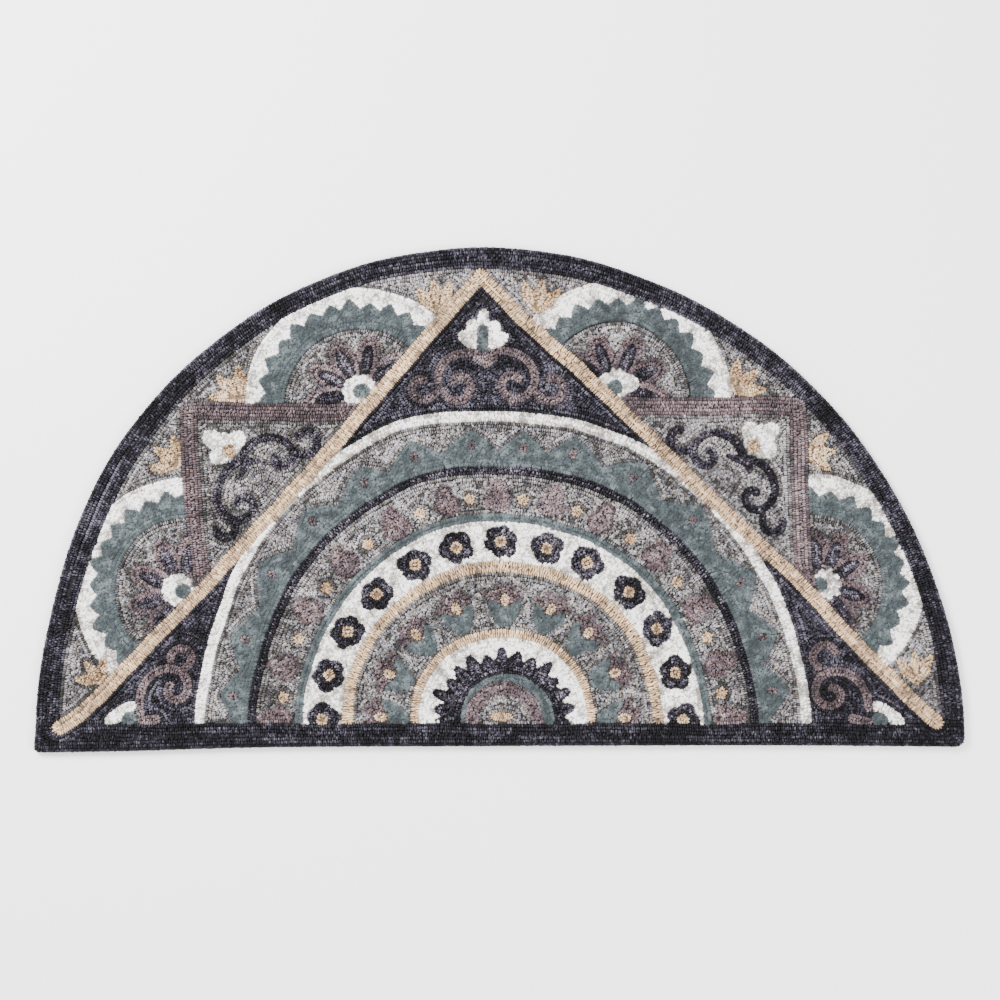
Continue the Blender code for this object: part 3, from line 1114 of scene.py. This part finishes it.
def make_roots(canvas):
    """The bed that the loops stand in: low under looped yarn, and higher under the dense cut pile."""
    step = int(ROOT_CELL / CELL)
    part = slice(None, None, step), slice(None, None, step)
    x, y, rim, yarn = canvas.x[part], canvas.y[part], canvas.rim[part], canvas.yarn[part]
    inside = rim > ROOT_RIM
    number = np.cumsum(inside).reshape(inside.shape) - 1
    full = inside[:-1, :-1] & inside[:-1, 1:] & inside[1:, 1:] & inside[1:, :-1]
    corners = (number[:-1, :-1], number[:-1, 1:], number[1:, 1:], number[1:, :-1])
    faces = np.stack([corner[full] for corner in corners], axis=1)
    used = yarn[inside]
    uneven = rng.uniform(-ROOT_UNEVEN, ROOT_UNEVEN, len(used))
    height = ROOT + np.array([kind.bed for kind in YARNS])[used] + uneven
    co = np.column_stack([x[inside] + HUB_X, y[inside] + HUB_Y, height])
    mesh = bpy.data.meshes.new("pile_roots")
    mesh.from_pydata(co * MM, [], faces)
    # Each root takes its yarn's darker colour, darkened again as painted shade for the shade down between
    # the loops, less so under cut pile
    dye = np.array([linear(row.colours[1]) for row in WOOLS])[used]
    dark = np.array([CUT_ROOT_PAINTED_SHADE if kind.form == "cut" else ROOT_PAINTED_SHADE for kind in YARNS])[used]
    dye[:, :3] *= dark[:, None]
    colour = mesh.color_attributes.new("root_colour", "FLOAT_COLOR", "POINT")
    colour.data.foreach_set("color", dye.ravel())
    mesh.materials.append(roots_material())
    mesh.shade_smooth()
    return placed("pile_roots", mesh)


def rim_material():
    """The dark wool of the turned edge."""
    nodes = Nodes("turned_edge")
    nodes.feed("Base Color", matted_wool(nodes, ("17171d", "25252e", "3a3a45")))
    return nodes.material


def inset(outline, distance):
    """The outline with each point moved inwards."""
    before, after = np.roll(outline, 1, axis=0), np.roll(outline, -1, axis=0)
    run = after - before
    inward = np.stack([-run[:, 1], run[:, 0]], axis=1) / np.hypot(run[:, 0], run[:, 1])[:, None]
    return outline + inward * distance


def make_cloth(outline):
    """The ground cloth, turned under at the rim: a flat closed body with a rounded side."""
    count = len(outline)
    rings = []
    for distance, height in HEM:
        ring = inset(outline, distance) + (HUB_X, HUB_Y)
        rings.append(np.column_stack([ring, np.full(count, height)]))
    faces = []
    for level in range(len(HEM) - 1):
        for i in range(count):
            j = (i + 1) % count
            a, b = level * count, (level + 1) * count
            faces.append((a + i, a + j, b + j, b + i))
    faces.append(tuple(range(count - 1, -1, -1)))
    last = (len(HEM) - 1) * count
    faces.append(tuple(range(last, last + count)))
    mesh = bpy.data.meshes.new("rug_cloth")
    mesh.from_pydata(np.concatenate(rings) * MM, [], faces)
    mesh.materials.append(canvas_material())
    mesh.materials.append(rim_material())
    for face in mesh.polygons:
        face.material_index = 1 if face.center.z > SOLE else 0
    mesh.shade_smooth()
    mesh.set_sharp_from_angle(angle=math.radians(SHARP_DEG))
    return placed("rug_cloth", mesh)


def flat_frames(x, y, dx, dy, across, along, height, uneven):
    """The root and the three spanning vectors of loops that stand on the cloth."""
    count = len(x)
    spin = rng.normal(0, math.radians(SPIN_DEG), count)
    tx = dx * np.cos(spin) - dy * np.sin(spin)
    ty = dx * np.sin(spin) + dy * np.cos(spin)
    size = rng.normal(1, SIZE_SPREAD, count).clip(*SIZE_LIMITS)
    zero = np.zeros(count)
    sway = rng.normal(0, SWAY, (2, count)).clip(-SWAY_LIMIT, SWAY_LIMIT)
    place = np.column_stack([x + HUB_X + sway[0], y + HUB_Y + sway[1], np.full(count, ROOT)])
    wide = (across * size)[:, None] * np.column_stack([-ty, tx, zero])
    thin = -(along * size)[:, None] * np.column_stack([tx, ty, zero])
    lean = rng.normal(0, LEAN, (count, 2)).clip(-LEAN_LIMIT, LEAN_LIMIT)
    up = np.column_stack([lean, height * rng.normal(1, uneven, count).clip(*HEIGHT_LIMITS)])
    return place, wide, thin, up


def tones(yarn, row, shade):
    """A tone for each loop: heathered yarn has light and dark loops, and the first row is darker, partly as
    painted shade along a motif's edge and partly as an outline row.
    """
    tone = MIDDLE_TONE + rng.normal(0, yarn.spread, len(row)) + yarn.streak * shade
    return tone - np.where(row == 0, yarn.edge_shade, 0.0)


def dye_lots(index, x, y):
    """How much lighter or darker the two dark yarns are in each part of the rug."""
    if index == CHARCOAL:
        in_triangle = polygon(TRIANGLE)[0](x, y) < 0
        return np.where(y < STRIP_TOP, STRIP_TONE, np.where(in_triangle, TRIANGLE_TONE, BORDER_TONE))
    if index == NAVY:
        return np.where(np.hypot(x, y) < MEDALLION, MEDALLION_TONE, 0.0)
    return np.zeros(len(x))


def make_pile(canvas):
    """Every yarn's loops, as one piece inside the medallion and one outside it, with the yarn's number."""
    arrays = thinned(fill_gaps(canvas, hooked_rows(canvas)).arrays())
    x, y, dx, dy, row, yarn, shade = arrays
    inner = (np.hypot(x, y) < MEDALLION) & (y > 0)
    pieces = []
    for index, kind in enumerate(YARNS):
        for zone, inside in (("medallion", inner), ("surround", ~inner)):
            mine = (yarn == index) & inside
            if not mine.any():
                continue
            count = int(mine.sum())
            size = np.full(count, kind.across), np.full(count, kind.along)
            uneven = CUT_UNEVEN if kind.form == "cut" else LOOP_UNEVEN
            frames = flat_frames(x[mine], y[mine], dx[mine], dy[mine], *size, kind.height, uneven)
            name = f"{kind.name}_{zone}_pile"
            tone = tones(kind, row[mine], shade[mine]) + dye_lots(index, x[mine], y[mine])
            obj = loops_mesh(name, *frames, tone, kind.form)
            pieces.append((obj, index))
    return pieces


def make_rim(outline):
    """Two more rows of loops, which roll over the rim and face outwards."""
    closed = np.vstack([outline, outline[:1]])
    yarn = YARNS[CHARCOAL]
    parts = []
    for distance, height, lean_deg in RIM_ROWS:
        found = along_chain(closed, yarn.along * RIM_SPACING, RIM_JITTER)
        x, y, dx, dy = found.T
        out = np.column_stack([dy, -dx])
        count = len(x)
        turn = np.radians(lean_deg + rng.normal(0, SPIN_DEG, count))
        place = np.column_stack([x, y]) - out * distance
        place = np.column_stack([place, np.full(count, height)])
        place[:, :2] += (HUB_X, HUB_Y)
        reach = RIM_REACH * rng.normal(1, RIM_SPREAD, count).clip(*RIM_LIMITS)
        up = np.column_stack([out * (np.sin(turn) * reach)[:, None], np.cos(turn) * reach])
        wide = RIM_ACROSS * np.column_stack([-out * np.cos(turn)[:, None], np.sin(turn)])
        thin = RIM_ALONG * np.column_stack([-dx, -dy, np.zeros(count)])
        parts.append((place, wide, thin, up))
    frames = [np.concatenate(group) for group in zip(*parts)]
    count = len(frames[0])
    tone = tones(yarn, np.ones(count), np.zeros(count)) + RIM_TONE
    return loops_mesh("charcoal_rim_pile", *frames, tone, yarn.form)


def make_camera():
    data = bpy.data.cameras.new("camera")
    data.lens = LENS
    data.sensor_width = SENSOR
    camera = placed("camera", data)
    camera.location = (*VIEW_MIDDLE, VIEW_WIDTH * LENS / SENSOR + RUG_HIGH[2])
    bpy.context.scene.camera = camera


def make_floor():
    mesh = bpy.data.meshes.new("floor")
    corners = [(x * FLOOR_HALF, y * FLOOR_HALF, 0) for x, y in ((-1, -1), (1, -1), (1, 1), (-1, 1))]
    mesh.from_pydata(corners, [], [(0, 1, 2, 3)])
    nodes = Nodes("pale_floor")
    nodes.feed("Base Color", FLOOR_COLOUR)
    nodes.feed("Roughness", 0.7)
    mesh.materials.append(nodes.material)
    floor = placed("floor", mesh)
    floor.location.z = -FLOOR_DROP


def make_light():
    for name, (place, size, power) in LAMPS.items():
        data = bpy.data.lights.new(name, "AREA")
        data.shape = "DISK"
        data.size = size
        data.energy = power
        light = placed(name, data)
        light.location = place
        light.rotation_euler = (-light.location).to_track_quat("-Z", "Y").to_euler()
    world = bpy.data.worlds.new("studio")
    bpy.context.scene.world = world
    world.use_nodes = True
    background = world.node_tree.nodes["Background"]
    background.inputs["Color"].default_value = (1.0, 1.0, 1.0, 1.0)
    background.inputs["Strength"].default_value = SKY


make_camera()
make_light()
make_floor()
outline = rug_outline()
cloth = make_cloth(outline)
materials = [wool_material(row) for row in WOOLS]
pattern = painted_pattern(outline)
pile = make_pile(pattern)
pile.append((make_rim(outline), CHARCOAL))
roots = make_roots(pattern)
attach(roots, "root")
for piece, index in pile:
    piece.data.materials.append(materials[index])
    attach(piece, "root")

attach(cloth, "root")
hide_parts("rug")
